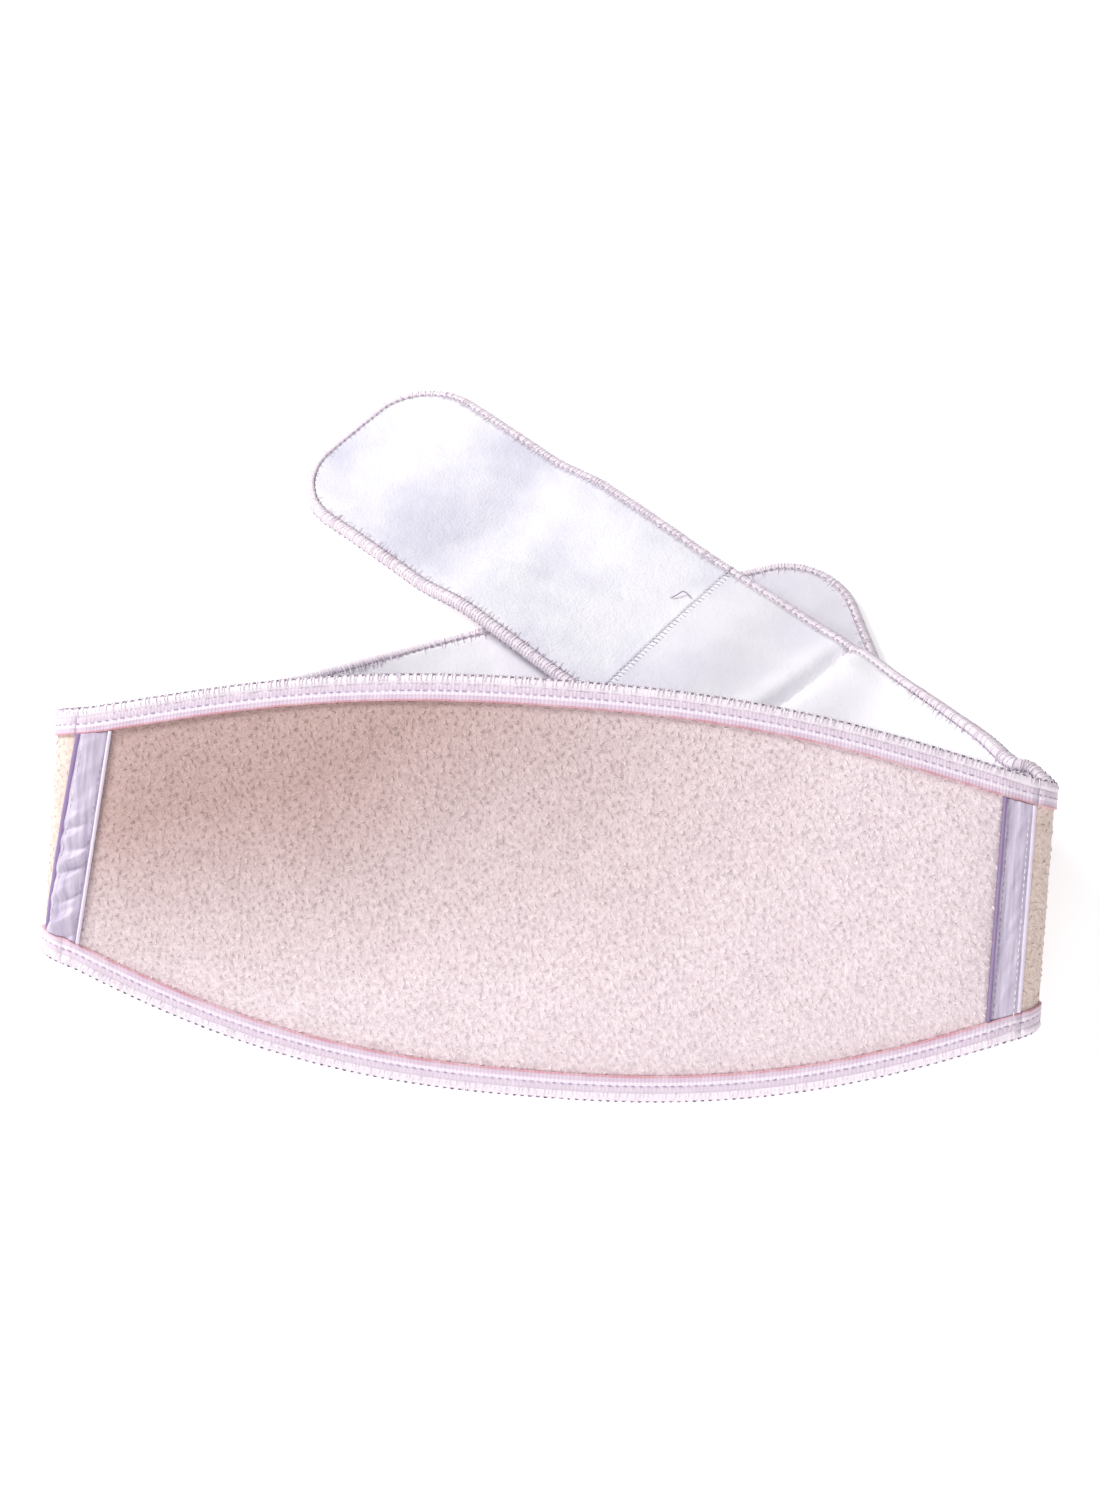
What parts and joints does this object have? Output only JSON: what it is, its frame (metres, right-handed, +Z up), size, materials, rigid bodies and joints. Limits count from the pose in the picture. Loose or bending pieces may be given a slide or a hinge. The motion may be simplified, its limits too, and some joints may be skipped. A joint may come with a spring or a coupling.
{
  "type": "spa headband",
  "caption": "Padded terry spa headband with a lens-shaped front, satin seam ribbons, overlocked edges and crossed hook-and-loop wings, lying collapsed.",
  "frame": {"origin": "middle of the footprint's bounding box, on the surface that the band lies on", "axes": "+X along the front panel to its right end, +Z up from the surface, -Y towards the side that the panel faces"},
  "size_m": [0.2442, 0.2258, 0.0645],
  "materials": {
    "panel_terry": "short-loop terry, pinkish beige",
    "wing_terry": "short-loop terry, pale beige",
    "lining": "brushed white knit",
    "brushed_loop": "brushed white loop pile",
    "foam": "soft interlining",
    "satin_ribbon": "lilac satin",
    "piping": "white folded edge",
    "edge_tape": "pale pink and lilac binding tape",
    "overlock_thread": "overlock thread",
    "hook_tape": "woven hook tape",
    "sewing_thread": "sewing thread"
  },
  "bodies": {
    "left_wing": {"left_wing_terry": "wing_terry", "left_wing_lining": "lining", "left_wing_tape": "edge_tape", "left_wing_overlock": "overlock_thread", "hook_patch": "hook_tape", "hook_patch_stitching": "sewing_thread"},
    "front_panel": {"front_terry": "panel_terry", "front_foam_interlining": "foam", "front_lining": "lining", "front_bottom_tape": "edge_tape", "front_bottom_overlock": "overlock_thread", "front_top_tape": "edge_tape", "front_top_overlock": "overlock_thread", "left_seam_ribbon": "satin_ribbon", "left_seam_piping": "piping", "left_seam_allowance": "lining", "left_fold_terry": "wing_terry", "left_fold_lining": "lining", "right_seam_ribbon": "satin_ribbon", "right_seam_piping": "piping", "right_seam_allowance": "lining", "right_fold_terry": "wing_terry", "right_fold_lining": "lining"},
    "right_wing": {"right_wing_terry": "wing_terry", "right_wing_lining": "lining", "right_wing_bottom_tape": "edge_tape", "right_wing_bottom_overlock": "overlock_thread", "right_wing_top_tape": "edge_tape", "right_wing_top_overlock": "overlock_thread", "right_cross_seam_stitching": "sewing_thread"},
    "right_tip": {"right_tip_terry": "wing_terry", "right_tip_loop_panel": "brushed_loop", "right_tip_tape": "edge_tape", "right_tip_overlock": "overlock_thread"}
  },
  "joints": [
    {"name": "left_fold", "type": "hinge", "parent": "left_wing", "child": "front_panel", "pos_m": [-0.1224, -0.06271, 0.02987], "axis": [0, -0.809, -0.5878], "range_deg": [0, 160]},
    {"name": "right_fold", "type": "hinge", "parent": "front_panel", "child": "right_wing", "pos_m": [0.1224, -0.06271, 0.02987], "axis": [0, -0.809, -0.5878], "range_deg": [0, 80.5]},
    {"name": "right_tip_curl", "type": "hinge", "parent": "right_wing", "child": "right_tip", "pos_m": [0.02315, 0.02665, 0.0106], "axis": [0.5948, 0.8039, 0], "range_deg": [0, 120]}
  ],
  "couplings": [
    {"joint": "right_fold", "follows": "left_fold", "ratio": 0.5}
  ]
}
